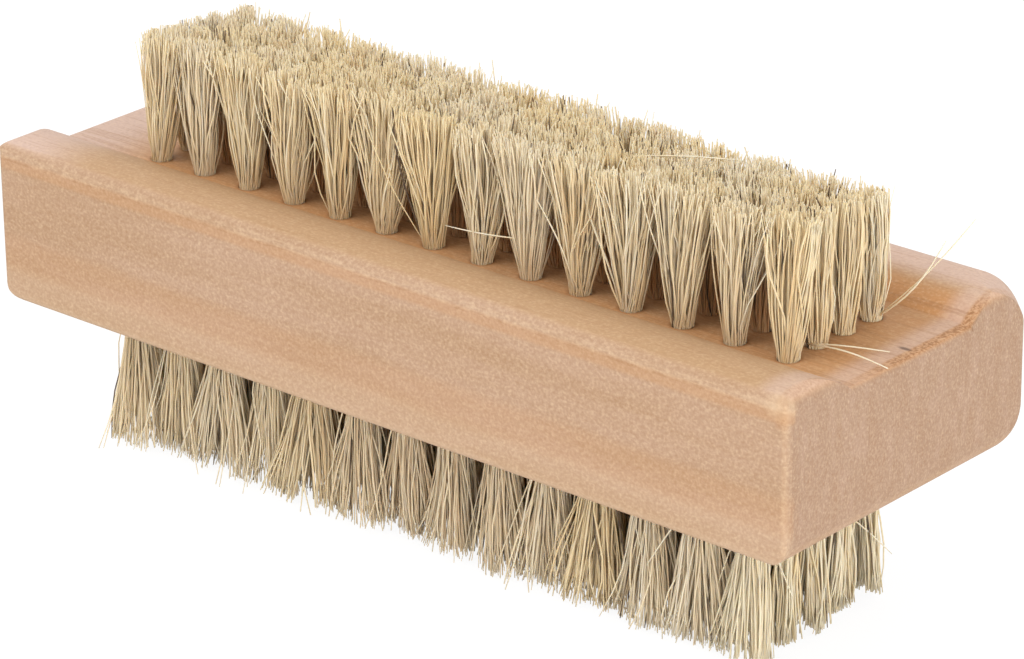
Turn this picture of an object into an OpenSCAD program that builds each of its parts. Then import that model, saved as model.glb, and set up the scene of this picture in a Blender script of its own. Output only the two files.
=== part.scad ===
// Wooden nail brush with bristles on both faces.
// One solid block of wood is drilled with blind holes on its top and on its underside. A tuft of
// bristle, folded round a flat metal anchor, fills each hole.
// The origin is under the middle of the brush. X runs along the block and Z is up. The tips of the
// lower bristles are cut flat on Z = 0, and -Y is the side that faces the viewer.
// All sizes are in millimetres.

/* [Block] */
// Length of the block
block_l = 100; // [92:1:110]
// Width of the block
block_w = 36.3; // [34:0.1:39]
// Thickness from the underside to the top of the shoulders
block_t = 17.1; // [16:0.1:20]
// Width of the sunken floor between the two shoulders
channel_w = 18.2; // [16.6:0.1:19]
// Depth of that floor below the top of the shoulders
channel_d = 2.3; // [1.8:0.05:2.4]
// Radius of the rounded top of each shoulder
crown_r = 9; // [8:0.5:11]
// Rounding of the two long edges at the front
edge_r = 1.1; // [0.6:0.1:1.2]
// Rounding of the two long edges at the back, which are worn rounder
back_edge_r = 2.6; // [1:0.1:3.6]
// Rounding of the two upright corners at the front
corner_r = 0.8; // [0.6:0.1:2]
// Rounding of the two upright corners at the back
back_corner_r = 1.5; // [0.8:0.1:3]
// Rounding of the top and foot of the upright back corners, which are worn most
worn_corner_r = 5.2; // [3:0.1:6]
// Rounding of the lower end edges
end_r_low = 3; // [2:0.1:5]
// Rounding of the upper end edges of the shoulders
end_r_top = 1.8; // [1:0.1:2.1]
// Rounding of the end edges of the sunken floor
floor_end_r = 0.6; // [0.4:0.1:1]

/* [Tufts] */
// Distance from each end of the block to the nearest column of tufts
end_margin = 10.4; // [9:0.1:12]
// Distance between rows of tufts across the block
row_pitch = 4.1; // [3.9:0.05:4.2]
// How far the upper columns lie off the middle of the block, along it
top_column_shift = 1.9; // [-2.2:0.1:2.2]
// How far the lower columns lie off the middle of the block, along it
bottom_column_shift = 0.2; // [-2.2:0.1:2.2]
// How far the upper rows lie off the middle of the block, across it
top_shift = -1.1; // [-1.1:0.1:1.1]
// How far the lower rows lie off the middle of the block, across it
bottom_shift = -1.3; // [-1.4:0.1:1.4]
// Diameter of the holes
hole_d = 2.2; // [2:0.05:2.4]
// Depth of the holes from the channel floor
top_hole_depth = 6.4; // [5.5:0.1:6.6]
// Depth of the holes from the underside
bottom_hole_depth = 6; // [5.5:0.1:6.6]
// Slack between a tuft or an anchor and the wood around it
fit_gap = 0.03; // [0.02:0.01:0.05]

/* [Bristles] */
// Length of the upper bristles above the channel floor
top_bristle_l = 13.3; // [10:0.1:18]
// Length of the lower bristles below the underside
bottom_bristle_l = 15; // [10:0.1:18]
// Distance of a strand from the middle of its tuft at the hole
root_reach = 0.5; // [0.48:0.01:0.52]
// Distance of an upper strand from the middle of its tuft at the tip, along the block
top_reach_x = 2.1; // [1:0.1:2.6]
// The same distance across the block
top_reach_y = 1.5; // [1:0.1:1.6]
// Distance of a lower strand from the middle of its tuft at the tip, along the block
bottom_reach_x = 2; // [1:0.1:2.2]
// The same distance across the block
bottom_reach_y = 1.3; // [1:0.1:1.3]
// Width of a strand at the hole
root_w = 0.62; // [0.5:0.02:0.64]
// Width of a strand at the tip
tip_w = 0.74; // [0.4:0.02:0.8]
// How far the upper tips differ in height
tip_spread = 0.9; // [0:0.1:1.5]

/* [Anchors] */
// Length of an anchor, which bites into the wood on both sides of its hole
anchor_l = 3; // [2.8:0.1:3.4]
// Height of an anchor
anchor_h = 1.6; // [1.2:0.1:1.8]
// Thickness of an anchor
anchor_t = 0.3; // [0.2:0.05:0.4]
// Thickness of the folded bristle between an anchor and the bottom of its hole
fold_t = 0.6; // [0.4:0.1:0.8]

/* [Hidden] */
$fn = 64;
columns = 14;
top_rows = 4;
bottom_rows = 5;
top_strands = 4;
bottom_strands = 3;
strand_rings = 3;
strand_sides = 4;
top_first_turn = 45;
bottom_first_turn = 90;

// How strongly a strand leans out near its tip rather than at its root
lean_power = 1.5;
// How much the lean differs from strand to strand, as a part of the whole
lean_spread = 0.12;
// Turns that scatter those differences over columns, rows and strands
column_turn = 97;
row_turn = 59;
strand_turn = 131;

// Overlap that keeps a cut clear of the face that it opens
over = edge_r / 2;
// Part of an upright corner's radius by which its rounding stays inside the square corner, along the
// level diagonal, less a little so that two roundings never just touch
corner_share = 0.4;
// Depth to which a strand is joined to its bundle
root_depth = hole_d / 4;

floor_h = block_t - channel_d;
under_z = bottom_bristle_l;
floor_z = under_z + floor_h;
column_pitch = (block_l - 2 * end_margin) / (columns - 1);
hole_r = hole_d / 2;

// The crown is an arc that meets the channel floor at the edge of the channel
crown_centre_z = block_t - crown_r;
crown_floor_rise = floor_h - crown_centre_z;
crown_y = channel_w / 2 + sqrt(crown_r * crown_r - crown_floor_rise * crown_floor_rise);
function two_digits(n) = n < 10 ? str("0", n) : str(n);
function column_node(kind, i) = str(kind, "_column_", two_digits(i + 1));
function column_nodes(kind) = [for (i = [0 : columns - 1]) column_node(kind, i)];
function column_x(i) = (i - (columns - 1) / 2) * column_pitch;
function row_y(j, rows, shift) = (j - (rows - 1) / 2) * row_pitch + shift;
function top_y(j) = row_y(j, top_rows, top_shift);
function bottom_y(j) = row_y(j, bottom_rows, bottom_shift);

// A steady scatter between -1 and 1, so that no two strands match
function scatter(i, j, k) = sin(column_turn * i + row_turn * j + strand_turn * k);

// Outline with a flat bottom and top, rounded by one radius below and another above
module rounded_outline(w, h, low_r, top_r) {
    translate([-w / 2, low_r]) square([w, h - low_r - top_r]);
    translate([-w / 2 + low_r, 0]) square([w - 2 * low_r, low_r]);
    translate([-w / 2 + top_r, h - top_r]) square([w - 2 * top_r, top_r]);
    for (side = [-1, 1]) {
        translate([side * (w / 2 - low_r), low_r]) circle(low_r);
        translate([side * (w / 2 - top_r), h - top_r]) circle(top_r);
    }
}

// Cross-section of the +Y side of the block, with both of its long edges rounded by r. The upper
// rounding touches both the crown and the flat side.
module side_outline(r) {
    y = block_w / 2 - r;
    z = crown_centre_z + sqrt(pow(crown_r - r, 2) - pow(y - crown_y, 2));
    touch_y = crown_y + (y - crown_y) * crown_r / (crown_r - r);
    square([y, floor_h]);
    translate([y, r]) square([r, z - r]);
    translate([y, r]) circle(r);
    translate([y, z]) circle(r);
    intersection() {
        translate([crown_y, crown_centre_z]) circle(crown_r);
        translate([channel_w / 2 - over, floor_h]) square([touch_y - channel_w / 2 + over, channel_d]);
    }
}

// Cross-section of the block, with its underside on the X axis of the drawing
module block_section() {
    side_outline(back_edge_r);
    mirror([1, 0]) side_outline(edge_r);
}

// Rounding of the end edges of the channel floor
module channel_end_cut() {
    rotate([90, 0, 0])
        linear_extrude(channel_w, center = true)
            difference() {
                translate([block_l / 2 - floor_end_r, floor_h - floor_end_r]) square(floor_end_r + over);
                translate([block_l / 2 - floor_end_r, floor_h - floor_end_r]) circle(floor_end_r);
            }
}

// What the rounding of an upright corner's top leaves off, seen along the level diagonal
module corner_waste() {
    difference() {
        square(worn_corner_r + over);
        circle(worn_corner_r);
    }
}

// Rounding of the top and foot of one upright back corner
module worn_corner_cut() {
    reach = worn_corner_r + corner_share * back_corner_r;
    translate([block_l / 2, block_w / 2, 0])
        rotate([90, 0, 45])
            linear_extrude(2 * (reach + over), center = true) {
                translate([-reach, block_t - worn_corner_r]) corner_waste();
                translate([-reach, worn_corner_r]) mirror([0, 1]) corner_waste();
            }
}

module wood_body() {
    difference() {
        intersection() {
            rotate([90, 0, 90]) linear_extrude(block_l, center = true) block_section();
            rotate([90, 0, 0])
                linear_extrude(block_w, center = true)
                    rounded_outline(block_l, block_t, end_r_low, end_r_top);
            translate([0, -block_w / 2, 0])
                linear_extrude(block_t)
                    rounded_outline(block_l, block_w, corner_r, back_corner_r);
        }
        for (side = [0, 1]) {
            mirror([side, 0, 0]) {
                channel_end_cut();
                worn_corner_cut();
            }
        }
    }
}

// Flat metal anchor standing on the fold of the bristle, measured from the bottom of its hole
module anchor_plate(slack) {
    translate([-anchor_l / 2 - slack, -anchor_t / 2 - slack, fold_t - slack])
        cube([anchor_l + 2 * slack, anchor_t + 2 * slack, anchor_h + 2 * slack]);
}

// Blind hole with the slit that its anchor bites into the wood, measured from the bottom
module tuft_hole(depth) {
    cylinder(r = hole_r, h = depth + over);
    anchor_plate(fit_gap);
}

// Places its children at the bottom of a hole in the top
module at_top_hole(i, j) {
    translate([column_x(i) + top_column_shift, top_y(j), floor_z - top_hole_depth]) children();
}

// Places its children, turned over, at the bottom of a hole in the underside
module at_bottom_hole(i, j) {
    translate([column_x(i) + bottom_column_shift, bottom_y(j), under_z + bottom_hole_depth])
        rotate([180, 0, 0]) children();
}

module block() {
    color("burlywood")
        difference() {
            translate([0, 0, under_z]) wood_body();
            for (i = [0 : columns - 1]) {
                for (j = [0 : top_rows - 1]) at_top_hole(i, j) tuft_hole(top_hole_depth);
                for (j = [0 : bottom_rows - 1]) at_bottom_hole(i, j) tuft_hole(bottom_hole_depth);
            }
        }
}

// Triangles that close a tube of rings, each ring being strand_sides points
strand_faces = concat(
    [for (m = [1 : strand_sides - 2]) [0, m, m + 1]],
    [for (r = [0 : strand_rings - 2], m = [0 : strand_sides - 1], half = [0, 1])
        let (
            low = r * strand_sides,
            high = low + strand_sides,
            next = (m + 1) % strand_sides
        )
        half == 0 ? [low + m, high + m, low + next] : [low + next, high + m, high + next]
    ],
    [for (m = [1 : strand_sides - 2])
        let (last = (strand_rings - 1) * strand_sides)
        [last, last + m + 1, last + m]
    ]
);

// Strand of bristle from a root point to a tip point, leaning out more and more on its way
module strand(root, tip, z_root, z_tip) {
    points = [for (r = [0 : strand_rings - 1], m = [0 : strand_sides - 1])
        let (
            along = r / (strand_rings - 1),
            middle = root + (tip - root) * pow(along, lean_power),
            ring_r = (root_w + (tip_w - root_w) * along) / 2 / cos(180 / strand_sides),
            turn = 360 * (m + 0.5) / strand_sides
        )
        [middle[0] + ring_r * cos(turn), middle[1] + ring_r * sin(turn), z_root + (z_tip - z_root) * along]
    ];
    polyhedron(points, strand_faces);
}

// Tuft measured from the bottom of its hole: a bundle folded round its anchor, and its strands
module tuft(depth, bristle_l, strands, first_turn, reach, spread, i, j) {
    difference() {
        translate([0, 0, fit_gap]) cylinder(r = hole_r - fit_gap, h = depth - fit_gap);
        anchor_plate(fit_gap);
    }
    for (k = [0 : strands - 1]) {
        turn = first_turn + 360 * k / strands;
        out = [cos(turn), sin(turn)];
        lean = 1 + lean_spread * scatter(i, j, k);
        drop = spread * (1 + scatter(j, k, i)) / 2;
        strand(
            root_reach * out,
            [reach[0] * out[0], reach[1] * out[1]] * lean,
            depth - root_depth,
            depth + bristle_l - drop
        );
    }
}

module top_tufts(i) {
    reach = [top_reach_x, top_reach_y];
    color("wheat")
        for (j = [0 : top_rows - 1])
            at_top_hole(i, j)
                tuft(top_hole_depth, top_bristle_l, top_strands, top_first_turn, reach, tip_spread, i, j);
}

// The lower tips all end on the plane that the brush rests on
module bottom_tufts(i) {
    reach = [bottom_reach_x, bottom_reach_y];
    color("tan")
        for (j = [0 : bottom_rows - 1])
            at_bottom_hole(i, j)
                tuft(bottom_hole_depth, bottom_bristle_l, bottom_strands, bottom_first_turn, reach, 0, i, j);
}

module top_anchors(i) {
    color("silver")
        for (j = [0 : top_rows - 1])
            at_top_hole(i, j) anchor_plate(0);
}

module bottom_anchors(i) {
    color("silver")
        for (j = [0 : bottom_rows - 1])
            at_bottom_hole(i, j) anchor_plate(0);
}

block();
for (i = [0 : columns - 1]) {
    top_tufts(i);
    bottom_tufts(i);
    top_anchors(i);
    bottom_anchors(i);
}
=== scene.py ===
"""Looks of a wooden nail brush with bristles on both faces, laid out as a Blender add-on.

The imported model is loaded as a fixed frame. The block and the anchors keep their own shapes and get
finishes here, and every column of tufts is replaced by hairs worked out with numpy."""

import math
from types import SimpleNamespace

import bpy
import numpy as np
from bpy.props import FloatProperty, FloatVectorProperty, IntProperty, PointerProperty
from mathutils import Matrix, Vector


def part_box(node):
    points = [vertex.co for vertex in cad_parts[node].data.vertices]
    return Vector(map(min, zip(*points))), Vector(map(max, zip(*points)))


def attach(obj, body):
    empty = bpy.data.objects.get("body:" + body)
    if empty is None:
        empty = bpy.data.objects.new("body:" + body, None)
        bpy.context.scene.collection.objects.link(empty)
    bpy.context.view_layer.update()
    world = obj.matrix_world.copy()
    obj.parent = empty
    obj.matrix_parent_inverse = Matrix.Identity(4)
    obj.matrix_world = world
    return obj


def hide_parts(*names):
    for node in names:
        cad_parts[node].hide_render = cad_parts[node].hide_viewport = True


bl_info = {
    "name": "Nail Brush Looks",
    "version": (1, 0, 0),
    "blender": (4, 5, 0),
    "location": "View3D > Sidebar > Nail Brush",
    "description": "Hairs, wood and stage for a two-sided wooden nail brush",
    "category": "Object",
}

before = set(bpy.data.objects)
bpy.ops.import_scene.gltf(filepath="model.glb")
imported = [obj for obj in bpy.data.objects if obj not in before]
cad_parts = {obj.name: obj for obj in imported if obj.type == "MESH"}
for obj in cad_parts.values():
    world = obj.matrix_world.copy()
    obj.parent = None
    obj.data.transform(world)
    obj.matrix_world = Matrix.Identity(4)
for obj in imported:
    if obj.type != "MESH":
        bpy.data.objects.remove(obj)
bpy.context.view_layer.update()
COLUMNS = sorted(n[-2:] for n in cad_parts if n.startswith("top_anchors_column_"))
MM = 0.001

# Layout of the tufts
UPPER_ROWS, LOWER_ROWS = 4, 5
ANCHOR_THICKNESS = 0.3 * MM

# Mesh of a hair: sides of its tube, and rings of points in its hole and out of it
SIDES = 4
RINGS_IN_HOLE = 2
FREE_RINGS = 7

# How the hairs of a tuft part into locks and spread. A pair is the least and the most
LOCKS = 7
LOCK_PULL = (0.2, 0.8)
HAIR_PULL = (0.4, 1)
FAN_LIMITS = (0.7, 1.2)
SPREAD_POWER = (1.0, 1.4)
# The outer hairs of a bundle spread by a factor of their own
OUTER_FROM = 0.75
OUTER_SPREAD = (0.9, 1.25)
# Standard deviations of places and bows, of the fan, the spread, the width and the tones
ROOT_SCATTER, SCATTER, WILD_SCATTER = 0.02 * MM, 0.34 * MM, 1.4 * MM
LOCK_SCATTER, TUFT_SCATTER = 0.35 * MM, 0.25 * MM
BOW, WILD_BOW, WAVE_SHARE = 0.25 * MM, 0.45 * MM, 0.7
FAN_VARIES, SPREAD_VARIES, WIDTH_VARIES = 0.14, 0.08, 0.14
LOCK_TONE_VARIES, HAIR_TONE_VARIES = 0.12, 0.13
# Shares of wild hairs, how much paler they are as a painted highlight, and how much lower a whole lock may be cut
WILD_SHARE, WILD_SHARE_AT_ENDS = 0.09, 0.03
WILD_HIGHLIGHT = 0.25
LOCK_DROP = 0.4 * MM
# Tufts of the end columns: how much less they spread outwards, the front corner of the right end less so, how far
# they may reach, and how much thicker the hairs of the right end are
END_KEPT, CORNER_KEPT = 0.6, 0.3
END_REACH = 2.2 * MM
END_THICKER = 1.15
# A hair's widths by the share of the way along it
ALONG_HAIR, HAIR_TAPER = (0, 0.75, 1), (1, 0.95, 0.6)
ALONG_STRAY, STRAY_TAPER = (0, 0.7, 1), (1.1, 1, 0.6)
# Where hairs run in the hole: clear of the anchor's face, and drawn together along it
ANCHOR_CLEARANCE, BESIDE_SQUEEZE, ALONG_SQUEEZE = 0.27 * MM, 0.65, 0.9
OVER_BOTTOM, OVER_ANCHOR = 0.1 * MM, 0.2 * MM

# Tones from 0 to 1. A dark hair's is under the palette's step, and every other hair's is over it
DARK_SHARE, DARK_TONE, LEAST_TONE, USUAL_TONE = 0.03, 0.01, 0.06, 0.5
DARK_STEP = 0.05
# How much paler the lower hairs are, by their place along the brush in millimetres: painted light and shade
LOWER_PLACES = (-40, -15, 0, 25, 36, 42)
LOWER_LIGHT_AND_SHADE = (0, -0.18, -0.3, -0.1, 0.15, 0.7)

# Stray hairs seen in the photo: the column they belong to, their two ends and their bow in millimetres from the
# middle of the block's underside, and their tone
STRAYS = {
    ("top", "14"): (
        ((40.8, -4.2, 15.1), (48.0, -0.8, 15.1), (0, -0.4, 0.3), 1.0),
        ((41.6, -4.4, 15.3), (50.1, -3.9, 15.1), (0, -0.2, 0.5), 1.0),
        ((41.9, 5.2, 14.9), (52.3, 5.8, 27.0), (0.3, 0, -0.3), 1.0),
        ((42.0, 5.0, 14.9), (49.3, 5.5, 24.2), (0.5, 0, -0.6), 1.0),
    ),
    ("top", "11"): (((19.2, -1.8, 27.2), (28.1, 3.2, 27.4), (0, 0, 0.2), 1.0),),
    ("top", "10"): (((17.3, -8.2, 15.0), (13.4, -9.0, 23.6), (0.9, -0.2, 0), 0.95),),
    ("top", "09"): (((11.7, -8.0, 18.9), (1.8, -8.9, 18.1), (0, 0, -0.2), 1.0),),
    ("bottom", "13"): (((33.1, -10.3, -0.8), (28.9, -11.9, -7.9), (0, 0, 0.3), 1.0),),
    ("bottom", "14"): (
        ((40.8, -10.3, -0.5), (45.8, -11.8, -5.8), (0, 0, 0.3), 1.0),
        ((41.0, 4.4, -0.3), (42.9, 4.3, -10.6), (0.2, 0, 0), 0.01),
        ((41.2, 1.2, -3.2), (43.0, 7.0, -9.4), (0, 0, 0.2), 0.95),
    ),
}

# Streaks of the wood: their length, width and height in millimetres, their contrast and their detail
WOOD_STREAKS = {
    "broad": ((28, 3.5, 3.5), 2.2, 3.0),
    "pores": ((20, 1.1, 5), 3.0, 3.0),
    "rings": ((20, 0.5, 0.5), 3.2, 2.0),
    "lines": ((8, 0.24, 0.24), 2.6, 3.0),
    "specks": ((0.4, 0.26, 0.26), 2.6, 3.0),
    "grit": ((0.3, 0.18, 0.35), 3.2, 2.0),
    "spots": ((1.1, 0.3, 0.3), 3.0, 2.0),
    "dots": ((0.3, 0.3, 0.3), 3.0, 2.0),
}
# Level bands along the front: their height over the underside and half width in millimetres, share and colour
FRONT_BANDS = ((5.3, 2.6, 0.16, "warm"), (2.5, 2.0, 0.12, "worn"), (14.9, 0.9, 0.3, "warm"))
# Knots in the sunken floor: their middle and half sizes in millimetres
KNOTS = (((48.2, 1.2), (1.0, 0.4, 1.5)), ((48.2, -8.7), (0.5, 0.25, 1.5)))
KNOT_DEPTH = 2.3
KNOT_COLOUR = (0.12, 0.07, 0.05)
# Painted shade round the upper holes: where it is full and where it is gone, in millimetres from a hole's middle
HOLE_RIM_SHADE = (1.55, 1.12)

# Where the lamps point
LAMP_AIM = Vector((0, 0, 20)) * MM

# Limits that every colour setting has
SHADES = {"size": 3, "min": 0, "max": 1}


class TuftShape(bpy.types.PropertyGroup):
    """Sizes of the tufts and their hairs."""

    upper_hairs: IntProperty(name="Upper hairs", description="Hairs in one upper tuft", default=185, min=20, max=260)
    lower_hairs: IntProperty(name="Lower hairs", description="Hairs in one lower tuft", default=180, min=20, max=260)
    hair_width: FloatProperty(
        name="Hair width",
        description="Thickness of a hair",
        default=0.165 * MM,
        min=0.1 * MM,
        max=0.3 * MM,
        unit="LENGTH",
    )
    bundle_radius: FloatProperty(
        name="Bundle radius",
        description="Radius of a tuft at its hole",
        default=1 * MM,
        min=0.6 * MM,
        max=1.05 * MM,
        unit="LENGTH",
    )
    upper_depth: FloatProperty(
        name="Upper depth",
        description="Depth of an upper hole",
        default=6.4 * MM,
        min=4 * MM,
        max=7 * MM,
        unit="LENGTH",
    )
    lower_depth: FloatProperty(
        name="Lower depth",
        description="Depth of a lower hole",
        default=6 * MM,
        min=4 * MM,
        max=7 * MM,
        unit="LENGTH",
    )
    fold: FloatProperty(
        name="Fold",
        description="Gap between an anchor and its hole's bottom",
        default=0.6 * MM,
        min=0.3 * MM,
        max=1 * MM,
        unit="LENGTH",
    )
    upper_fan: FloatProperty(
        name="Upper fan",
        description="How far upper hairs spread along the brush",
        default=3.6 * MM,
        min=0.8 * MM,
        max=4.4 * MM,
        unit="LENGTH",
    )
    lower_fan: FloatProperty(
        name="Lower fan",
        description="How far lower hairs spread along the brush",
        default=4.1 * MM,
        min=0.8 * MM,
        max=4.4 * MM,
        unit="LENGTH",
    )
    fan_across: FloatProperty(
        name="Fan across",
        description="How far hairs spread across it",
        default=1.6 * MM,
        min=0.8 * MM,
        max=3 * MM,
        unit="LENGTH",
    )
    ragged: FloatProperty(
        name="Raggedness",
        description="How much the cut tips differ in height",
        default=0.38 * MM,
        min=0,
        max=2 * MM,
        unit="LENGTH",
    )
    rim_drop: FloatProperty(
        name="Rim drop",
        description="How much lower the rim of a tuft is cut than its middle",
        default=0.25 * MM,
        min=0,
        max=1 * MM,
        unit="LENGTH",
    )
    slant: FloatProperty(
        name="Slant",
        description="How much shorter the upper hairs are cut at the back",
        default=0.5 * MM,
        min=0,
        max=1 * MM,
        unit="LENGTH",
    )
    seed: IntProperty(name="Seed", description="Changes which way each hair leans", default=7, min=0)


class BristleColours(bpy.types.PropertyGroup):
    """Colours of the hairs."""

    straw: FloatVectorProperty(
        name="Straw", description="Usual hair", default=(0.765, 0.615, 0.4), subtype="COLOR", **SHADES
    )
    cream: FloatVectorProperty(
        name="Cream", description="Palest hair", default=(0.8, 0.715, 0.545), subtype="COLOR", **SHADES
    )
    tan: FloatVectorProperty(
        name="Tan", description="Browner hair", default=(0.65, 0.46, 0.26), subtype="COLOR", **SHADES
    )
    # Painted shade at the roots of tufts off the field's edges, where they meet the wood
    painted_root_shade: FloatVectorProperty(
        name="Deep", description="Roots between the tufts", default=(0.52, 0.27, 0.12), subtype="COLOR", **SHADES
    )
    dark: FloatVectorProperty(
        name="Dark", description="The few dark hairs", default=(0.045, 0.03, 0.022), subtype="COLOR", **SHADES
    )


class WoodColours(bpy.types.PropertyGroup):
    """Colours of the block."""

    tan: FloatVectorProperty(
        name="Tan", description="Most of the wood", default=(0.398, 0.245, 0.141), subtype="COLOR", **SHADES
    )
    pink: FloatVectorProperty(
        name="Pink",
        description="Paler wood of the ends and shoulders",
        default=(0.59, 0.42, 0.34),
        subtype="COLOR",
        **SHADES,
    )
    warm: FloatVectorProperty(
        name="Warm",
        description="Orange wood of the sunken floor",
        default=(0.52, 0.26, 0.105),
        subtype="COLOR",
        **SHADES,
    )
    shoulder: FloatVectorProperty(
        name="Shoulder",
        description="Wood beside the floor",
        default=(0.475, 0.292, 0.153),
        subtype="COLOR",
        **SHADES,
    )
    end: FloatVectorProperty(
        name="End", description="Grain of the ends", default=(0.336, 0.214, 0.143), subtype="COLOR", **SHADES
    )
    # Grain lines and rough edges; also the colour of the painted shade at the holes' rims
    line: FloatVectorProperty(
        name="Line",
        description="Grain lines and rough edges",
        default=(0.30, 0.14, 0.055),
        subtype="COLOR",
        **SHADES,
    )
    # Real rubbed spots and sandy specks, and also the colour of the painted highlights along the block's edges
    worn: FloatVectorProperty(
        name="Worn",
        description="Rubbed spots and corners",
        default=(0.72, 0.525, 0.34),
        subtype="COLOR",
        **SHADES,
    )


class StageShape(bpy.types.PropertyGroup):
    """Camera and lamps."""

    distance: FloatProperty(
        name="Distance", description="Camera from the block's underside", default=0.4548875, unit="LENGTH"
    )
    azimuth: FloatProperty(
        name="Azimuth",
        description="Camera's turn round the brush",
        default=math.radians(41.5512),
        subtype="ANGLE",
    )
    elevation: FloatProperty(
        name="Elevation",
        description="Camera's height as an angle",
        default=math.radians(23.4308),
        subtype="ANGLE",
    )
    pan: FloatProperty(
        name="Pan", description="Turn of the view beside the azimuth", default=math.radians(-0.2291), subtype="ANGLE"
    )
    pitch: FloatProperty(
        name="Pitch", description="How far the view looks down", default=math.radians(22.962), subtype="ANGLE"
    )
    roll: FloatProperty(
        name="Roll", description="Tilt of the picture", default=math.radians(-0.6846), subtype="ANGLE"
    )
    lens: FloatProperty(
        name="Lens", description="Focal length in millimetres", default=164.461, min=20, max=300
    )
    sky: FloatProperty(name="Sky", description="Strength of the even light", default=0.98, min=0, max=2)
    fill: FloatProperty(name="Fill", description="Power of the low lamp on the right", default=5.4, min=0, max=50)
    key: FloatProperty(name="Key", description="Power of the main lamp", default=3.4, min=0, max=50)


# Node helpers


def add(tree, kind, values=None, **settings):
    """Adds a node. Values fill its inputs, where a socket is linked, and settings are its properties."""
    made = tree.nodes.new(kind)
    for name, value in settings.items():
        setattr(made, name, value)
    for name, value in (values or {}).items():
        if isinstance(value, bpy.types.NodeSocket):
            tree.links.new(value, made.inputs[name])
        else:
            made.inputs[name].default_value = value
    return made


def maths(tree, operation, *values, clamp=False):
    """The output of a Math node on these numbers or sockets."""
    return add(tree, "ShaderNodeMath", dict(enumerate(values)), operation=operation, use_clamp=clamp).outputs[0]


def less(tree, a, b):
    """One value less another."""
    return maths(tree, "SUBTRACT", a, b)


def times(tree, first, *others):
    """The product of two or more values."""
    for other in others:
        first = maths(tree, "MULTIPLY", first, other)
    return first


def most(tree, first, *others):
    """The greatest of two or more values."""
    for other in others:
        first = maths(tree, "MAXIMUM", first, other)
    return first


def vector_maths(tree, operation, *values, output=0):
    """The output of a Vector Math node on these vectors or sockets."""
    return add(tree, "ShaderNodeVectorMath", dict(enumerate(values)), operation=operation).outputs[output]


def mixed(tree, share, a, b):
    """Colour a moved towards colour b by a share."""
    return add(tree, "ShaderNodeMix", {0: share, 6: a, 7: b}, data_type="RGBA").outputs[2]


def layered(tree, colour, *layers):
    """A colour with layers laid over it in turn. A layer is its share and its colour."""
    for share, over in layers:
        colour = mixed(tree, share, colour, rgba(over))
    return colour


def ramp(tree, value, low, high, to_low=0.0, to_high=1.0):
    """Value taken smoothly from between low and high to between to_low and to_high."""
    names = ("Value", "From Min", "From Max", "To Min", "To Max")
    given = dict(zip(names, (value, low, high, to_low, to_high), strict=True))
    return add(tree, "ShaderNodeMapRange", given, interpolation_type="SMOOTHSTEP").outputs[0]


def fade(tree, value, start, full, share=1.0):
    """A mask that is 0 where a value is at start and grows to a share where it is at full, in millimetres."""
    return ramp(tree, value, start * MM, full * MM, 0.0, share)


def band(tree, value, centre, half):
    """A mask that is 1 where a value is near a centre and fades out half a width away, in millimetres."""
    return fade(tree, maths(tree, "ABSOLUTE", less(tree, value, centre * MM)), half, 0.4 * half)


def rgba(colour):
    """A colour with full alpha."""
    return (*colour[:3], 1.0)


def new_group(name, inputs, outputs):
    """An empty node group with named sockets. Returns the group, its input sockets and its output node."""
    tree = bpy.data.node_groups.new(name, "ShaderNodeTree")
    for label, kind, default in inputs:
        socket = tree.interface.new_socket(label, in_out="INPUT", socket_type=kind)
        socket.default_value = default
    for label, kind in outputs:
        tree.interface.new_socket(label, in_out="OUTPUT", socket_type=kind)
    given = tree.nodes.new("NodeGroupInput")
    return tree, given.outputs, tree.nodes.new("NodeGroupOutput")


def streaks_group():
    """Streaks: noise drawn out to a length, width and height, with its contrast set. Used for wood, hair and
    metal."""
    tree, given, out = new_group(
        "Streaks",
        [
            ("Vector", "NodeSocketVector", (0, 0, 0)),
            ("Size", "NodeSocketVector", (1, 1, 1)),
            ("Contrast", "NodeSocketFloat", 1.0),
            ("Detail", "NodeSocketFloat", 3.0),
        ],
        [("Streak", "NodeSocketFloat")],
    )
    at = vector_maths(tree, "DIVIDE", given["Vector"], given["Size"])
    inputs = {"Vector": at, "Scale": 1.0, "Detail": given["Detail"], "Roughness": 0.55}
    noise = add(tree, "ShaderNodeTexNoise", inputs)
    off = less(tree, noise.outputs["Fac"], 0.5)
    tree.links.new(maths(tree, "MULTIPLY_ADD", off, given["Contrast"], 0.5, clamp=True), out.inputs["Streak"])
    return tree


def edge_group():
    """Edge line: a mask that is 1 where two distances are both within their limits, soft over a width."""
    tree, given, out = new_group(
        "Edge line",
        [
            ("First", "NodeSocketFloat", 0.0),
            ("First limit", "NodeSocketFloat", 0.0),
            ("Second", "NodeSocketFloat", 0.0),
            ("Second limit", "NodeSocketFloat", 0.0),
            ("Width", "NodeSocketFloat", 0.001),
        ],
        [("Mask", "NodeSocketFloat")],
    )
    first = less(tree, given["First limit"], given["First"])
    second = less(tree, given["Second limit"], given["Second"])
    within = maths(tree, "DIVIDE", maths(tree, "MINIMUM", first, second), given["Width"])
    tree.links.new(ramp(tree, within, 0.0, 1.0), out.inputs["Mask"])
    return tree


def spot_group():
    """Spot: a soft oval mask round a centre, with half sizes along the axes."""
    tree, given, out = new_group(
        "Spot",
        [
            ("Vector", "NodeSocketVector", (0, 0, 0)),
            ("Centre", "NodeSocketVector", (0, 0, 0)),
            ("Half size", "NodeSocketVector", (1, 1, 1)),
        ],
        [("Mask", "NodeSocketFloat")],
    )
    off = vector_maths(tree, "SUBTRACT", given["Vector"], given["Centre"])
    away = vector_maths(tree, "LENGTH", vector_maths(tree, "DIVIDE", off, given["Half size"]), output="Value")
    tree.links.new(ramp(tree, away, 1.0, 0.3), out.inputs["Mask"])
    return tree


def shared(name):
    """The shader node group of that name, built the first time."""
    makers = {"Streaks": streaks_group, "Edge line": edge_group, "Spot": spot_group}
    return bpy.data.node_groups.get(name) or makers[name]()


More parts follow.
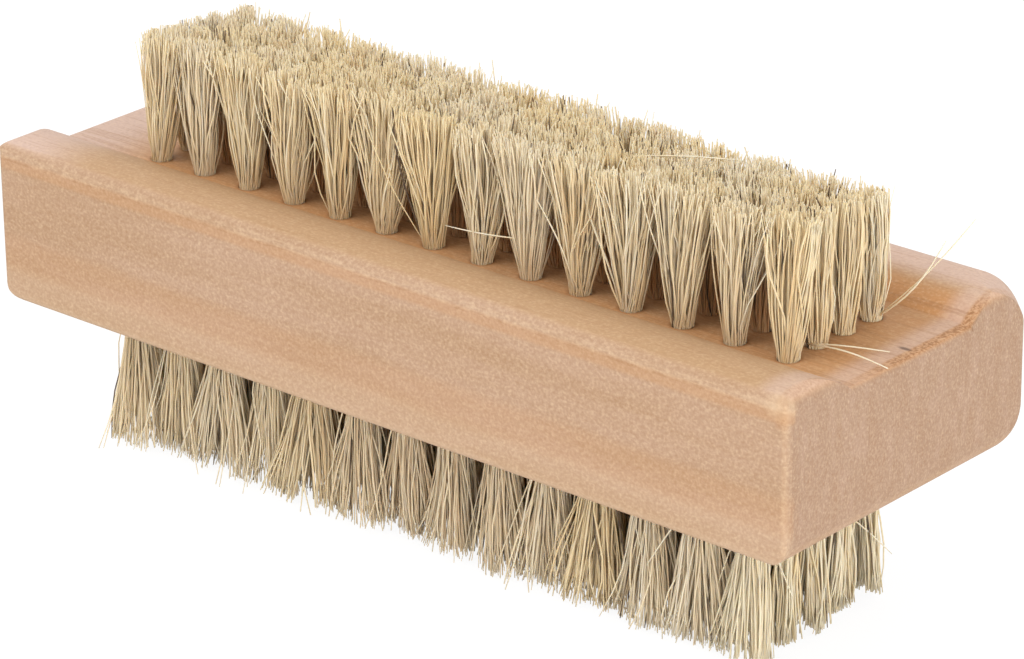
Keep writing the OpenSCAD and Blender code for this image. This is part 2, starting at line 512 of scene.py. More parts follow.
def effect(tree, name, **values):
    """The output of a shared effect with these values."""
    made = add(tree, "ShaderNodeGroup", node_tree=shared(name))
    for label, value in values.items():
        socket = made.inputs[label.replace("_", " ")]
        if isinstance(value, bpy.types.NodeSocket):
            tree.links.new(value, socket)
        else:
            socket.default_value = value
    return made.outputs[0]


def streaks(tree, at, size, contrast, detail):
    """The Streaks effect, with its size in millimetres."""
    return effect(tree, "Streaks", Vector=at, Size=[s * MM for s in size], Contrast=contrast, Detail=detail)


def new_material(name):
    """A material with its tree, its Principled BSDF and a socket of Object coordinates."""
    material = bpy.data.materials.new(name)
    material.use_nodes = True
    tree = material.node_tree
    coordinates = add(tree, "ShaderNodeTexCoord").outputs["Object"]
    return material, tree, tree.nodes["Principled BSDF"], coordinates


def dress(piece, material):
    """Gives a piece one material."""
    piece.data.materials.clear()
    piece.data.materials.append(material)


# Finishes


def block_places(tree, at):
    """Places of the block. X, Y and the distances from its faces are sockets, and the rest are masks that are 1 at
    the place they are named for and 0 away from it."""
    low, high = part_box("block")
    x, y, z = add(tree, "ShaderNodeSeparateXYZ", {0: at}).outputs
    place = SimpleNamespace(x=x, y=y)
    across = maths(tree, "ABSOLUTE", y)
    place.from_right = less(tree, high.x, x)
    place.from_front = less(tree, y, low.y)
    place.from_under = less(tree, z, low.z)
    place.from_top = less(tree, high.z, z)

    off_edges = times(tree, fade(tree, less(tree, high.y, across), 0.1, 0.9), fade(tree, place.from_right, 0.1, 0.6))
    place.top = times(tree, off_edges, fade(tree, place.from_top, 3.4, 2.5))
    floor = times(tree, place.top, fade(tree, across, 13.5, 8, 0.85))
    cove = times(tree, fade(tree, y, 8.5, 9.3), fade(tree, y, 13, 10.5), place.top)
    place.warm = most(tree, floor, cove)
    left = fade(tree, less(tree, x, low.x), 13, 3)
    right = fade(tree, place.from_right, 4.6, 2.4, 0.65)
    back = fade(tree, y, 11.5, 14, 0.9)
    place.pale = times(tree, most(tree, left, right, back), place.top)
    place.end = fade(tree, place.from_right, 0.4, 0.05, 0.8)
    place.front = fade(tree, place.from_front, 1.2, 0.8)
    brink = times(tree, band(tree, place.from_right, 0.8, 0.8), fade(tree, place.from_top, 3.6, 3.1))
    bare_front = ramp(tree, y, -9 * MM, 1 * MM, 0.25, 1.0)
    bare_back = ramp(tree, y, 13 * MM, 10 * MM, 0.25, 1.0)
    place.rim = times(tree, brink, bare_front, bare_back)
    return place


def wood_areas(tree, place, streak, colours):
    """Layers for the large areas: pinker streaks, shoulders, orange floor, paler edges, and ends with their pores."""
    return [
        (ramp(tree, streak.broad, 0.1, 0.9, 0.04, 0.24), colours.pink),
        (times(tree, place.top, 0.8), colours.shoulder),
        (times(tree, place.warm, ramp(tree, streak.broad, 0.2, 0.9, 1.0, 0.6)), colours.warm),
        (place.pale, colours.pink),
        (place.end, colours.end),
        (times(tree, place.end, ramp(tree, streak.pores, 0.5, 1.0, 0.0, 0.16)), colours.pink),
        (times(tree, place.end, ramp(tree, streak.pores, 0.5, 0.0, 0.0, 0.12)), colours.line),
    ]


def wood_grain(tree, place, streak, colours):
    """Layers for the grain: rings on the floor, fine lines, sandy specks, and grit on the ends and sides."""
    sawn = most(tree, place.end, less(tree, 0.7, times(tree, place.top, 0.6)))
    return [
        (times(tree, place.warm, ramp(tree, streak.rings, 0.55, 0.95, 0.0, 0.35)), colours.line),
        (times(tree, ramp(tree, streak.lines, 0.55, 1.0, 0.0, 0.2), most(tree, place.top, 0.45)), colours.line),
        (ramp(tree, streak.specks, 0.45, 1.0, 0.0, 0.22), colours.worn),
        (ramp(tree, streak.specks, 0.55, 0.0, 0.0, 0.15), colours.line),
        (times(tree, sawn, ramp(tree, streak.grit, 0.5, 0.0, 0.0, 0.28)), colours.line),
        (times(tree, sawn, ramp(tree, streak.grit, 0.5, 1.0, 0.0, 0.22)), colours.worn),
    ]


def front_marks(tree, place, streak, colours):
    """Layers for the front: level bands, a faint dark line along its upper edge, and a painted highlight along that
    edge.
    """
    layers = []
    for rise, half, share, name in FRONT_BANDS:
        level = times(tree, place.front, band(tree, place.from_under, rise, half), share)
        layers.append((level, getattr(colours, name)))
    dark = times(tree, band(tree, place.from_top, 1.8, 0.2), ramp(tree, streak.spots, 0.4, 0.9, 0.0, 0.3))
    # Painted highlight: a paler line along the upper front edge, where the rounded edge catches the light
    light = times(tree, band(tree, place.from_top, 1.35, 0.55), ramp(tree, streak.spots, 0.7, 0.2, 0.06, 0.24))
    layers.append((times(tree, place.front, dark), colours.line))
    layers.append((times(tree, place.front, light), colours.worn))
    return layers


def hole_rim_shade(tree, place):
    """A mask for painted shade at the edges of the upper holes, where the tufts go into the wood: 1 at the edges and
    gone half a millimetre away. X and Y are folded by the pitches of the tufts, so that one circle makes every rim."""
    first, last = (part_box(f"top_anchors_column_{c}") for c in (COLUMNS[0], COLUMNS[-1]))
    half = ANCHOR_THICKNESS / 2
    folded, within = [], []
    for value, low, high, steps in (
        (place.x, (first[0].x + first[1].x) / 2, (last[0].x + last[1].x) / 2, len(COLUMNS) - 1),
        (place.y, first[0].y + half, first[1].y - half, UPPER_ROWS - 1),
    ):
        pitch, middle = (high - low) / steps, (low + high) / 2
        off = maths(tree, "ABSOLUTE", less(tree, value, middle))
        within.append(maths(tree, "LESS_THAN", off, (steps + 1) * pitch / 2))
        folded.append(maths(tree, "WRAP", less(tree, value, low), pitch / 2, -pitch / 2))
    square = maths(tree, "MULTIPLY_ADD", folded[0], folded[0], times(tree, folded[1], folded[1]))
    rim = fade(tree, maths(tree, "SQRT", square), *HOLE_RIM_SHADE)
    return times(tree, rim, maths(tree, "LESS_THAN", place.from_top, 3 * MM), *within)


def edge_marks(tree, at, place, streak, colours):
    """Layers for the rough rim of the floor's end, a painted highlight along the front-right vertical edge and the
    front's lower edge with a paler spot at the upper front-right corner, painted shade at the holes' rims, and the
    knots.
    """
    low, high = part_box("block")
    # Painted highlight: masks along the front-right vertical edge and along the front's lower edge
    upright_highlight = effect(
        tree,
        "Edge line",
        First=place.from_right,
        First_limit=0.95 * MM,
        Second=place.from_front,
        Second_limit=0.75 * MM,
        Width=0.5 * MM,
    )
    lower = effect(
        tree,
        "Edge line",
        First=place.from_front,
        First_limit=0.9 * MM,
        Second=place.from_under,
        Second_limit=1.5 * MM,
        Width=1.2 * MM,
    )
    upright_highlight = times(tree, upright_highlight, ramp(tree, streak.dots, 0.2, 0.8, 0.18, 0.08))
    edge_highlight = maths(tree, "MULTIPLY_ADD", lower, 0.4, upright_highlight)
    middle = Vector((high.x, low.y, high.z)) + Vector((-1.2, 0.6, -1.4)) * MM
    corner = effect(tree, "Spot", Vector=at, Centre=middle, Half_size=Vector((2.2, 1.2, 1.6)) * MM)
    layers = [
        (times(tree, place.rim, 0.7), colours.warm),
        (times(tree, place.rim, ramp(tree, streak.dots, 0.35, 0.8, 0.1, 0.8)), colours.line),
        (times(tree, place.rim, ramp(tree, streak.dots, 0.35, 0.1, 0.0, 0.25)), colours.worn),
        # Painted highlight along those edges, with a paler spot at the upper front-right corner
        (most(tree, edge_highlight, times(tree, corner, 0.4)), colours.worn),
        # Painted shade at the rims of the upper holes
        (times(tree, hole_rim_shade(tree, place), 0.6), colours.line),
    ]
    for (x, y), half in KNOTS:
        middle = (x * MM, y * MM, high.z - KNOT_DEPTH * MM)
        knot = effect(tree, "Spot", Vector=at, Centre=middle, Half_size=Vector(half) * MM)
        layers.append((times(tree, knot, 0.8), KNOT_COLOUR))
    return layers


def wood_finish(colours):
    """Sanded wood: tan sides, an orange floor, pinker shoulders and ends, grain along X, sandy specks, rough edges
    and two knots."""
    material, tree, shader, at = new_material("sanded_wood")
    place = block_places(tree, at)
    streak = SimpleNamespace(**{name: streaks(tree, at, *how) for name, how in WOOD_STREAKS.items()})
    colour = layered(
        tree,
        rgba(colours.tan),
        *wood_areas(tree, place, streak, colours),
        *wood_grain(tree, place, streak, colours),
        *front_marks(tree, place, streak, colours),
        *edge_marks(tree, at, place, streak, colours),
    )

    tree.links.new(colour, shader.inputs["Base Color"])
    shader.inputs["Roughness"].default_value = 0.62
    shader.inputs["Specular IOR Level"].default_value = 0.3
    rise = maths(tree, "ADD", times(tree, streak.lines, 0.4), times(tree, streak.specks, 0.6))
    bump = add(tree, "ShaderNodeBump", {"Strength": 0.4, "Distance": 0.06 * MM, "Height": rise})
    tree.links.new(bump.outputs[0], shader.inputs["Normal"])
    return material


def bristle_finish(colours):
    """Natural hair: each hair's own tone, browner at its root, dark brown painted shade at the roots of the tufts off
    the field's edges and ends, where they meet the wood, paler at its tip, and with faint streaks along it. Dark
    hairs keep their colour from root to tip."""
    material, tree, shader, at = new_material("natural_bristle")
    tone, along, tint, inner_shade = (
        add(tree, "ShaderNodeAttribute", attribute_name=name).outputs["Fac"]
        for name in ("hair_tone", "hair_along", "tuft_tint", "inner_tuft_shade")
    )

    palette = add(tree, "ShaderNodeValToRGB", {"Fac": tone})
    stops = palette.color_ramp.elements
    stops[0].position, stops[0].color = 0.0, rgba(colours.dark)
    stops[1].position, stops[1].color = 1.0, rgba(colours.cream)
    between = ((0.035, colours.dark), (DARK_STEP, colours.tan), (0.36, colours.straw), (0.6, colours.straw))
    for position, colour in between:
        stops.new(position).color = rgba(colour)
    own = palette.outputs[0]
    strength = ramp(tree, tint, 0.0, 1.0, 0.88, 1.15)
    tinted = add(tree, "ShaderNodeHueSaturation", {"Color": own, "Saturation": strength}).outputs[0]
    hair = layered(
        tree,
        tinted,
        (ramp(tree, along, 0.25, 1.0, 0.0, 0.1), colours.cream),
        (ramp(tree, along, 0.35, 0.0, 0.0, 0.42), colours.tan),
        # Painted shade: roots of tufts off the field's edges turn dark brown near the wood
        (times(tree, inner_shade, ramp(tree, along, 0.66, 0.2, 0.0, 0.85)), colours.painted_root_shade),
    )
    hair = mixed(tree, ramp(tree, tone, 0.045, 0.03, 0.0, 1.0), hair, own)
    streak = streaks(tree, at, (0.2, 0.2, 2.2), 2.2, 2.0)
    hair = layered(tree, hair, (ramp(tree, streak, 0.0, 1.0, 0.2, 0.0), colours.tan))

    tree.links.new(hair, shader.inputs["Base Color"])
    shader.inputs["Roughness"].default_value = 0.5
    shader.inputs["Specular IOR Level"].default_value = 0.25
    shader.inputs["Subsurface Weight"].default_value = 0.28
    shader.inputs["Subsurface Radius"].default_value = (1.0, 0.7, 0.4)
    shader.inputs["Subsurface Scale"].default_value = 0.4 * MM
    return material


def metal_finish():
    """Flat drawn wire: brushed lines along the anchor and a roughness that follows them."""
    material, tree, shader, at = new_material("flat_wire")
    drawn = streaks(tree, at, (3, 0.05, 0.05), 1.8, 2.0)
    colour = mixed(tree, drawn, (0.52, 0.52, 0.50, 1), (0.70, 0.70, 0.68, 1))
    tree.links.new(colour, shader.inputs["Base Color"])
    tree.links.new(ramp(tree, drawn, 0.0, 1.0, 0.28, 0.42), shader.inputs["Roughness"])
    shader.inputs["Metallic"].default_value = 1.0
    return material


# Hairs


def every_pair(first, second):
    """Two flat arrays that give every pair of a whole number under first and one under second."""
    return [numbers.ravel() for numbers in np.meshgrid(np.arange(first), np.arange(second), indexing="ij")]


def turned_square(way):
    """Two unit vectors square to each way and to each other, as arrays like it. The first is the way crossed with X
    where a hair stands, or with Z where it lies."""
    whole = way.sum(1, keepdims=True)
    stands = np.abs(whole[..., 2:3]) > 0.6 * np.linalg.norm(whole, axis=-1, keepdims=True)
    other = np.where(stands, (1.0, 0.0, 0.0), (0.0, 0.0, 1.0))
    first = np.cross(way, other)
    first /= np.linalg.norm(first, axis=-1, keepdims=True)
    return first, np.cross(way, first)


def hair_tubes(paths, widths, turns):
    """Points and faces of closed four-sided tubes. Point k of ring r is the path's point r plus half the width there
    times (cosine, sine) of the hair's turn plus k quarter circles, in the plane square to the path."""
    way = np.gradient(paths, axis=1)
    way /= np.linalg.norm(way, axis=-1, keepdims=True)
    first, second = turned_square(way)
    angle = turns[:, None, None] + np.arange(SIDES) * (2 * np.pi / SIDES)
    half = widths[:, :, None] / 2
    points = (
        paths[:, :, None]
        + (half * np.cos(angle))[..., None] * first[:, :, None]
        + (half * np.sin(angle))[..., None] * second[:, :, None]
    )
    hairs, rings = paths.shape[:2]
    ring, side = every_pair(rings - 1, SIDES)
    here, above, after = ring * SIDES, (ring + 1) * SIDES, (side + 1) % SIDES
    walls = np.stack([here + side, here + after, above + after, above + side], 1)
    root = np.arange(SIDES)[None, ::-1]
    tip = np.arange(SIDES)[None] + (rings - 1) * SIDES
    one = np.concatenate([walls, root, tip])
    faces = one[None] + (np.arange(hairs) * rings * SIDES)[:, None, None]
    return points.reshape(-1, 3), faces.reshape(-1, SIDES)


def hair_map(hairs, rings):
    """A place on the unit square for each corner of hair_tubes' faces. Each hair has a cell of a grid, with its walls
    side by side, its root's cap in a strip below them and its tip's cap in a strip above."""
    rows, margin, wall_from, wall_size = 8, 0.04, 0.08, 0.84
    across = -(-hairs // rows)
    ring, side = every_pair(rings - 1, SIDES)
    u = np.stack([side, side + 1, side + 1, side], 1) / SIDES
    v = wall_from + wall_size * np.stack([ring, ring, ring + 1, ring + 1], 1) / (rings - 1)
    cap_u = np.array([[0.1, 0.1, 0.9, 0.9], [0.1, 0.9, 0.9, 0.1]])
    cap_v = np.array([[0.01, 0.06, 0.06, 0.01], [0.94, 0.94, 0.99, 0.99]])
    one = np.stack([np.concatenate([u, cap_u]), np.concatenate([v, cap_v])], -1).reshape(-1, 2)
    cell = np.stack([np.arange(hairs) % across, np.arange(hairs) // across], 1)
    return ((cell[:, None] + margin + (1 - 2 * margin) * one) / (across, rows)).reshape(-1, 2)


def hair_piece(name, paths, widths, facts, rng):
    """A mesh object of hairs, put in by whole arrays. Facts are numbers by name, one for each hair or ring."""
    points, faces = hair_tubes(paths, widths, rng.uniform(0, np.pi, len(paths)))
    mesh = bpy.data.meshes.new(name)
    mesh.vertices.add(len(points))
    mesh.vertices.foreach_set("co", points.astype(np.float32).ravel())
    mesh.loops.add(faces.size)
    mesh.loops.foreach_set("vertex_index", faces.astype(np.int32).ravel())
    mesh.polygons.add(len(faces))
    mesh.polygons.foreach_set("loop_start", np.arange(0, faces.size, SIDES, dtype=np.int32))
    mesh.polygons.foreach_set("use_smooth", np.ones(len(faces), bool))
    mesh.update(calc_edges=True)
    layer = mesh.uv_layers.new(name="OFBake", do_init=False)
    layer.uv.foreach_set("vector", hair_map(*paths.shape[:2]).astype(np.float32).ravel())
    for fact, values in facts.items():
        each = np.broadcast_to(values.reshape(len(paths), -1), paths.shape[:2])
        attribute = mesh.attributes.new(fact, "FLOAT", "POINT")
        attribute.data.foreach_set("value", np.repeat(each.ravel(), SIDES).astype(np.float32))
    mesh.validate()
    piece = bpy.data.objects.new(name, mesh)
    bpy.context.scene.collection.objects.link(piece)
    return piece


def roots_and_tips(rng, count, fan, shape, lean, kept):
    """Where one tuft's hairs start and end, seen along its hole. Roots fill a disc in a sunflower's spiral. A tip is
    its root spread into an ellipse, then drawn towards the middle of its lock and moved with it, so that the locks
    part. On the side of the field's end that kept points to, tips spread less, by its size, and stay within reach.
    Returns the roots on the unit disc, the roots, the tips, each hair's lock and which hairs are wild."""
    k = np.arange(count)
    turn = k * np.pi * (3 - math.sqrt(5)) + rng.uniform(0, 2 * np.pi)
    disc = np.sqrt((k + 0.5) / count)[:, None] * np.stack([np.cos(turn), np.sin(turn)], 1)
    root = disc * shape.bundle_radius + rng.normal(0, ROOT_SCATTER, (count, 2))
    fan = np.array([fan, shape.fan_across]) * np.clip(rng.normal(1, FAN_VARIES, 2), *FAN_LIMITS)
    centres = rng.uniform(-1, 1, (LOCKS, 2))
    lock = np.argmin(np.linalg.norm(disc[:, None] - centres[None], axis=-1), 1)
    spread = disc * (1 + SPREAD_VARIES * rng.normal(size=(count, 1)))
    spread += rng.uniform(*LOCK_PULL, (LOCKS, 1))[lock] * (centres[lock] - disc) * rng.uniform(*HAIR_PULL, (count, 1))
    outer = np.linalg.norm(disc, axis=1) > OUTER_FROM
    spread *= np.where(outer, rng.uniform(*OUTER_SPREAD, count), 1.0)[:, None]
    wild = rng.random(count) < (WILD_SHARE_AT_ENDS if kept else WILD_SHARE)
    tip = spread * fan + rng.normal(0, 1, (count, 2)) * np.where(wild, WILD_SCATTER, SCATTER)[:, None]
    tip = tip + rng.normal(0, LOCK_SCATTER, (LOCKS, 2))[lock] + rng.normal(0, TUFT_SCATTER, 2)
    tip[:, 0] *= np.where(tip[:, 0] * kept > 0, 1.0 - abs(kept), 1.0)
    if kept:
        tip[:, 0] = np.sign(kept) * np.minimum(np.sign(kept) * tip[:, 0], END_REACH)
    return disc, root, tip + lean, lock, wild


def tuft_hairs(rng, count, free, fan, shape, lean, kept, anchor_rise, depth):
    """Centre lines of one tuft's hairs, measured from the middle of its hole's mouth with Z out of the hole. Between
    root and tip a hair moves by the height's share to the tuft's power, plus a bow of half a sine wave and a smaller
    whole one. Inside the hole it passes beside the anchor. A tone from 0 to 1 goes with each hair, near to its
    lock's, and paler where the hair is wild, a painted highlight for the light that stray strands catch."""
    disc, root, tip, lock, wild = roots_and_tips(rng, count, fan, shape, lean, kept)
    drop = LOCK_DROP * rng.random(LOCKS)[lock] + shape.rim_drop * (disc**2).sum(1)
    height = free - np.abs(rng.normal(0, 1, count)) * shape.ragged - drop
    bow, wave = rng.normal(0, 1, (2, count, 2)) * np.where(wild, WILD_BOW, BOW)[None, :, None]

    share = np.linspace(0, 1, FREE_RINGS)
    out = root[:, None] + (tip - root)[:, None] * share[None, :, None] ** rng.uniform(*SPREAD_POWER)
    out = out + bow[:, None] * np.sin(np.pi * share)[None, :, None]
    out = out + WAVE_SHARE * wave[:, None] * np.sin(2 * np.pi * share)[None, :, None]
    up = height[:, None] * share[None]
    side = np.where(root[:, 1:] < 0, -1.0, 1.0)
    clear = side * (ANCHOR_CLEARANCE + BESIDE_SQUEEZE * np.abs(root[:, 1:]))
    beside = np.concatenate([root[:, :1] * ALONG_SQUEEZE, clear], 1)
    inside = np.repeat(beside[:, None], RINGS_IN_HOLE, 1)
    low = np.array([OVER_BOTTOM, anchor_rise + OVER_ANCHOR]) - depth
    low = np.broadcast_to(low[None, :, None], (count, RINGS_IN_HOLE, 1))
    in_hole, in_air = np.concatenate([inside, low], 2), np.concatenate([out, up[..., None]], 2)
    paths = np.concatenate([in_hole, in_air], 1)
    along = np.concatenate([np.zeros(RINGS_IN_HOLE), share])
    tone = USUAL_TONE + rng.normal(0, LOCK_TONE_VARIES, LOCKS)[lock] + rng.normal(0, HAIR_TONE_VARIES, count)
    # Painted highlight: wild hairs are made paler for the light that stray strands catch
    tone = tone + WILD_HIGHLIGHT * wild
    tone = np.where(rng.random(count) < DARK_SHARE, DARK_TONE, np.clip(tone, LEAST_TONE, 1.0))
    return paths, along, tone


def lean_of_tuft(upper, end, edge):
    """How far a whole tuft leans at its tips, along and across the brush. End is -1 in the first column, 1 in the
    last and 0 between them, and edge is -1 in the front row and 1 in the back one. The edges lean outwards, and the
    lower tufts most in the first column."""
    if upper:
        return np.array([0.0, 0.1 * edge]) * MM
    first_column, back_right_corner = end < 0, end > 0 and edge > 0
    along = -0.2 * first_column - 0.8 * back_right_corner
    return np.array([along, (1.8 if first_column else 0.9) * edge]) * MM


def stray_hairs(kind, column, rings, width):
    """One column's stray hairs as tuft_column's parts. A stray is a straight line plus a bow of half a sine wave."""
    share = np.linspace(0, 1, rings)[:, None]
    for start, finish, bow, tone in STRAYS.get((kind, column), ()):
        start, finish, bow = (np.array(v) * MM for v in (start, finish, bow))
        path = start + share * (finish - start) + np.sin(np.pi * share) * bow + (0, 0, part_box("block")[0].z)
        yield path[None], width * np.interp(share.T, ALONG_STRAY, STRAY_TAPER), [tone], [0.5], [0.0]


def tuft_column(kind, column, shape, rng):
    """Arrays of all hairs in one column of tufts. Rows and the column's place come from the anchors' box. The facts
    are each hair's tone, the share of the way along it, its tuft's tint and whether the tuft lies off the field's
    edges and ends, which gets painted shade at its roots."""
    upper = kind == "top"
    rows = UPPER_ROWS if upper else LOWER_ROWS
    count = shape.upper_hairs if upper else shape.lower_hairs
    depth = shape.upper_depth if upper else shape.lower_depth
    fan = shape.upper_fan if upper else shape.lower_fan
    low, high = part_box(f"{kind}_anchors_column_{column}")
    tuft_low, tuft_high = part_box(f"{kind}_tufts_column_{column}")
    x, half = (low.x + high.x) / 2, ANCHOR_THICKNESS / 2
    mouth = low.z - shape.fold + depth if upper else high.z + shape.fold - depth
    free = tuft_high.z - mouth if upper else mouth - tuft_low.z
    rise = high.z - low.z + shape.fold
    end = (column == COLUMNS[-1]) - (column == COLUMNS[0])
    # Painted light and shade: the lower hairs' tone moves with their place along the brush, darker in the middle of
    # the underside and paler at the right end
    paler = 0.0 if upper else np.interp(x / MM, LOWER_PLACES, LOWER_LIGHT_AND_SHADE)

    parts = []
    for row, y in enumerate(np.linspace(low.y + half, high.y - half, rows)):
        edge = (row == rows - 1) - (row == 0)
        kept = (CORNER_KEPT if end > 0 and row == 0 else END_KEPT) * end
        cut = free - shape.slant * y / high.y if upper else free
        lean = lean_of_tuft(upper, end, edge)
        made, along, tone = tuft_hairs(rng, count, cut, fan, shape, lean, kept, rise, depth)
        made[..., 2] *= 1.0 if upper else -1.0
        width = shape.hair_width * (END_THICKER if end > 0 else 1.0) * np.exp(rng.normal(0, WIDTH_VARIES, (count, 1)))
        width = width * np.interp(along, ALONG_HAIR, HAIR_TAPER)[None]
        tone = np.where(tone > DARK_STEP, np.clip(tone + paler, LEAST_TONE, 1.0), tone)
        tint = np.full(count, rng.uniform(0.6 if end > 0 else 0, 1))
        # The last array is 1 for tufts off the field's edges and ends, whose roots get painted shade
        parts.append((made + (x, y, mouth), width, tone, tint, np.full(count, 0.0 if edge or end else 1.0)))
    parts += stray_hairs(kind, column, len(along), shape.hair_width)
    paths, widths, tone, tint, inner_shade = (np.concatenate(part) for part in zip(*parts, strict=True))
    along = np.broadcast_to(along, paths.shape[:2])
    return paths, widths, {"hair_tone": tone, "hair_along": along, "tuft_tint": tint, "inner_tuft_shade": inner_shade}


def make_tufts(kind):
    """Replaces each column of tufts of one kind by a piece of hairs."""
    scene = bpy.context.scene
    finish = bpy.data.materials.get("natural_bristle") or bristle_finish(scene.bristle_colours)
    shape = scene.tuft_shape
    for number, column in enumerate(COLUMNS):
        rng = np.random.default_rng([shape.seed, number, kind == "top"])
        paths, widths, facts = tuft_column(kind, column, shape, rng)
        piece = hair_piece(f"{kind}_hairs_{column}", paths, widths, facts, rng)
        dress(piece, finish)
        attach(piece, "root")
        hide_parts(f"{kind}_tufts_column_{column}")


# Stage


def floor_finish():
    """White floor. The camera sees it brightened to white, less a share of the shadow, and sees through its back."""
    material = bpy.data.materials.new("white_floor")
    material.use_nodes = True
    tree = material.node_tree
    tree.nodes.clear()
    path = add(tree, "ShaderNodeLightPath").outputs
    seen = most(tree, path["Is Camera Ray"], path["Is Glossy Ray"])
    matt = add(tree, "ShaderNodeBsdfDiffuse", {"Color": (0.94, 0.94, 0.94, 1)})
    glow = add(tree, "ShaderNodeEmission", {"Color": (1, 1, 1, 1), "Strength": 1.06})
    share = times(tree, seen, 0.86)
    front = add(tree, "ShaderNodeMixShader", {0: share, 1: matt.outputs[0], 2: glow.outputs[0]})
    clear = add(tree, "ShaderNodeBsdfTransparent")
    back = add(tree, "ShaderNodeNewGeometry").outputs["Backfacing"]
    whole = add(tree, "ShaderNodeMixShader", {0: back, 1: front.outputs[0], 2: clear.outputs[0]})
    add(tree, "ShaderNodeOutputMaterial", {"Surface": whole.outputs[0]})
    return material


def make_floor():
    """A flat disc just under the brush: a polar grid of radius r and angle a at (r cos a, r sin a), and a fan."""
    spokes, rings, level = 48, 12, -0.05 * MM
    radius, turn = np.meshgrid(np.geomspace(0.05, 6, rings), np.arange(spokes) * 2 * np.pi / spokes, indexing="ij")
    points = np.stack([radius * np.cos(turn), radius * np.sin(turn), 0 * radius + level], -1).reshape(-1, 3)
    points = np.concatenate([points, [[0, 0, level]]])
    ring, step = every_pair(rings - 1, spokes)
    here, outside, after = ring * spokes, (ring + 1) * spokes, (step + 1) % spokes
    quads = np.stack([here + step, outside + step, outside + after, here + after], 1)
    spoke = np.arange(spokes)
    fan = np.stack([np.full(spokes, len(points) - 1), spoke, (spoke + 1) % spokes], 1)
    mesh = bpy.data.meshes.new("floor")
    mesh.from_pydata(points.tolist(), [], quads.tolist() + fan.tolist())
    floor = bpy.data.objects.new("floor", mesh)
    bpy.context.scene.collection.objects.link(floor)
    dress(floor, floor_finish())


def make_sky(strength):
    """Even white light, which the camera and the rays that pass through things see as plain white."""
    world = bpy.data.worlds.new("white_room")
    bpy.context.scene.world = world
    world.use_nodes = True
    tree = world.node_tree
    path = add(tree, "ShaderNodeLightPath").outputs
    seen = most(tree, path["Is Camera Ray"], path["Is Transmission Ray"])
    level = maths(tree, "MULTIPLY_ADD", seen, 1.0 - strength, strength)
    tree.links.new(level, tree.nodes["Background"].inputs["Strength"])
    tree.nodes["Background"].inputs["Color"].default_value = (1, 1, 1, 1)


def make_lamp(name, place, size, power):
    """A square area lamp aimed at the middle of the brush."""
    data = bpy.data.lights.new(name, "AREA")
    data.size, data.energy = size, power
    lamp = bpy.data.objects.new(name, data)
    lamp.location = place
    lamp.rotation_euler = (LAMP_AIM - Vector(place)).to_track_quat("-Z", "Y").to_euler()
    bpy.context.scene.collection.objects.link(lamp)


def camera_matrix(stage, centre):
    """The camera's place and axes from its azimuth, elevation and distance, and its view's pan, pitch and roll."""
    a, e = stage.azimuth, stage.elevation
    place = centre + stage.distance * Vector((math.sin(a) * math.cos(e), -math.cos(a) * math.cos(e), math.sin(e)))
    y, q = a + stage.pan, stage.pitch
    back = Vector((math.sin(y) * math.cos(q), -math.cos(y) * math.cos(q), math.sin(q)))
    right = (-back).cross(Vector((0, 0, 1))).normalized()
    up = right.cross(-back)
    c, s = math.cos(stage.roll), math.sin(stage.roll)
    right, up = c * right + s * up, c * up - s * right
    return Matrix.Translation(place) @ Matrix((right, up, back)).transposed().to_4x4()


# Operators


class NAILBRUSH_OT_wood(bpy.types.Operator):
    """Gives the block its sanded wood."""

    bl_idname = "nail_brush.wood"
    bl_label = "Wood of the block"

    def execute(self, context):
        dress(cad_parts["block"], wood_finish(context.scene.wood_colours))
        return {"FINISHED"}


class NAILBRUSH_OT_anchors(bpy.types.Operator):
    """Gives the anchors their drawn metal."""

    bl_idname = "nail_brush.anchors"
    bl_label = "Metal of the anchors"

    def execute(self, context):
        metal = metal_finish()
        for column in COLUMNS:
            for kind in ("top", "bottom"):
                dress(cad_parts[f"{kind}_anchors_column_{column}"], metal)
        return {"FINISHED"}


class NAILBRUSH_OT_upper_tufts(bpy.types.Operator):
    """Replaces the upper tufts by hairs."""

    bl_idname = "nail_brush.upper_tufts"
    bl_label = "Upper tufts"

    def execute(self, context):
        make_tufts("top")
        return {"FINISHED"}


class NAILBRUSH_OT_lower_tufts(bpy.types.Operator):
    """Replaces the lower tufts by hairs."""

    bl_idname = "nail_brush.lower_tufts"
    bl_label = "Lower tufts"

    def execute(self, context):
        make_tufts("bottom")
        return {"FINISHED"}


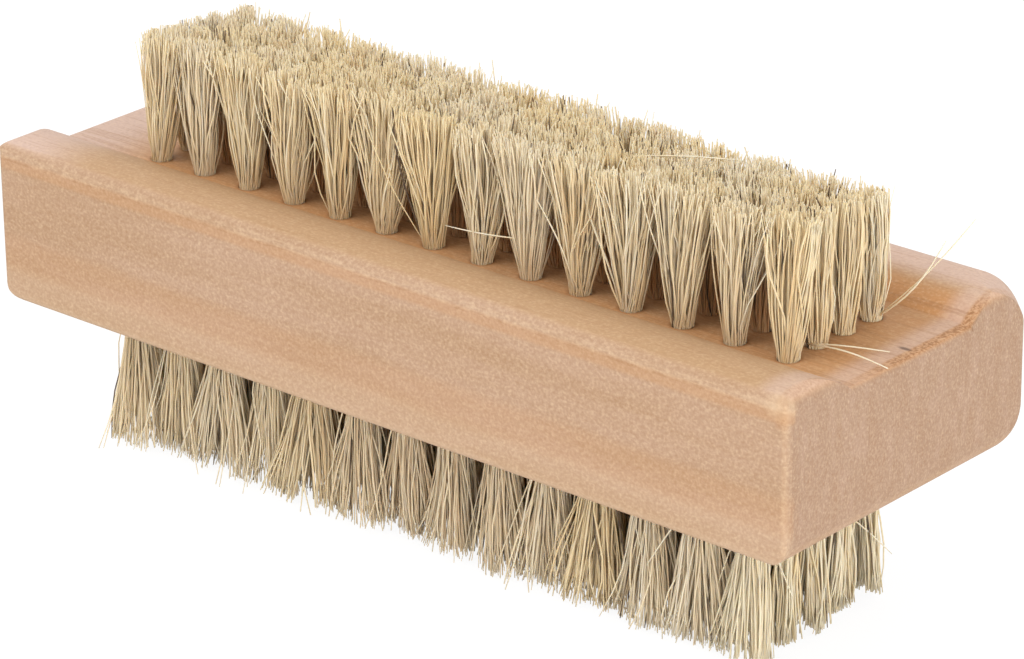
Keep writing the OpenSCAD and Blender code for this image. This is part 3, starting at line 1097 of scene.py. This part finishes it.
class NAILBRUSH_OT_stage(bpy.types.Operator):
    """Makes the floor, the light and the camera."""

    bl_idname = "nail_brush.stage"
    bl_label = "Stage"

    def execute(self, context):
        stage = context.scene.stage_shape
        make_floor()
        make_sky(stage.sky)
        make_lamp("key_lamp", (-0.2, -0.45, 0.85), 0.6, stage.key)
        make_lamp("fill_lamp", (0.8, -0.34, 0.06), 0.5, stage.fill)
        data = bpy.data.cameras.new("photo_camera")
        data.lens, data.sensor_width = stage.lens, 36.0
        data.clip_start, data.clip_end = 0.01, 20.0
        camera = bpy.data.objects.new("photo_camera", data)
        camera.matrix_world = camera_matrix(stage, Vector((0, 0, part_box("block")[0].z)))
        context.scene.collection.objects.link(camera)
        context.scene.camera = camera
        context.scene.view_settings.view_transform = "Standard"
        return {"FINISHED"}


OPERATORS = (
    NAILBRUSH_OT_wood,
    NAILBRUSH_OT_anchors,
    NAILBRUSH_OT_upper_tufts,
    NAILBRUSH_OT_lower_tufts,
    NAILBRUSH_OT_stage,
)
SETTINGS = {
    "tuft_shape": TuftShape,
    "bristle_colours": BristleColours,
    "wood_colours": WoodColours,
    "stage_shape": StageShape,
}


class NAILBRUSH_PT_panel(bpy.types.Panel):
    """Lists the brush's settings and pieces."""

    bl_label = "Nail Brush"
    bl_space_type = "VIEW_3D"
    bl_region_type = "UI"
    bl_category = "Nail Brush"

    def draw(self, context):
        for name in SETTINGS:
            box = self.layout.box()
            group = getattr(context.scene, name)
            for setting in SETTINGS[name].__annotations__:
                box.prop(group, setting)
        for operator in OPERATORS:
            self.layout.operator(operator.bl_idname)


def register():
    """Registers the settings, the operators and the panel."""
    for made in (*SETTINGS.values(), *OPERATORS, NAILBRUSH_PT_panel):
        bpy.utils.register_class(made)
    for name, settings in SETTINGS.items():
        setattr(bpy.types.Scene, name, PointerProperty(type=settings))


def unregister():
    """Takes away what register added."""
    for name in SETTINGS:
        delattr(bpy.types.Scene, name)
    for made in (NAILBRUSH_PT_panel, *OPERATORS, *SETTINGS.values()):
        bpy.utils.unregister_class(made)


def main():
    register()
    bpy.ops.nail_brush.wood()
    bpy.ops.nail_brush.anchors()
    bpy.ops.nail_brush.upper_tufts()
    bpy.ops.nail_brush.lower_tufts()
    bpy.ops.nail_brush.stage()


if __name__ == "__main__":
    main()
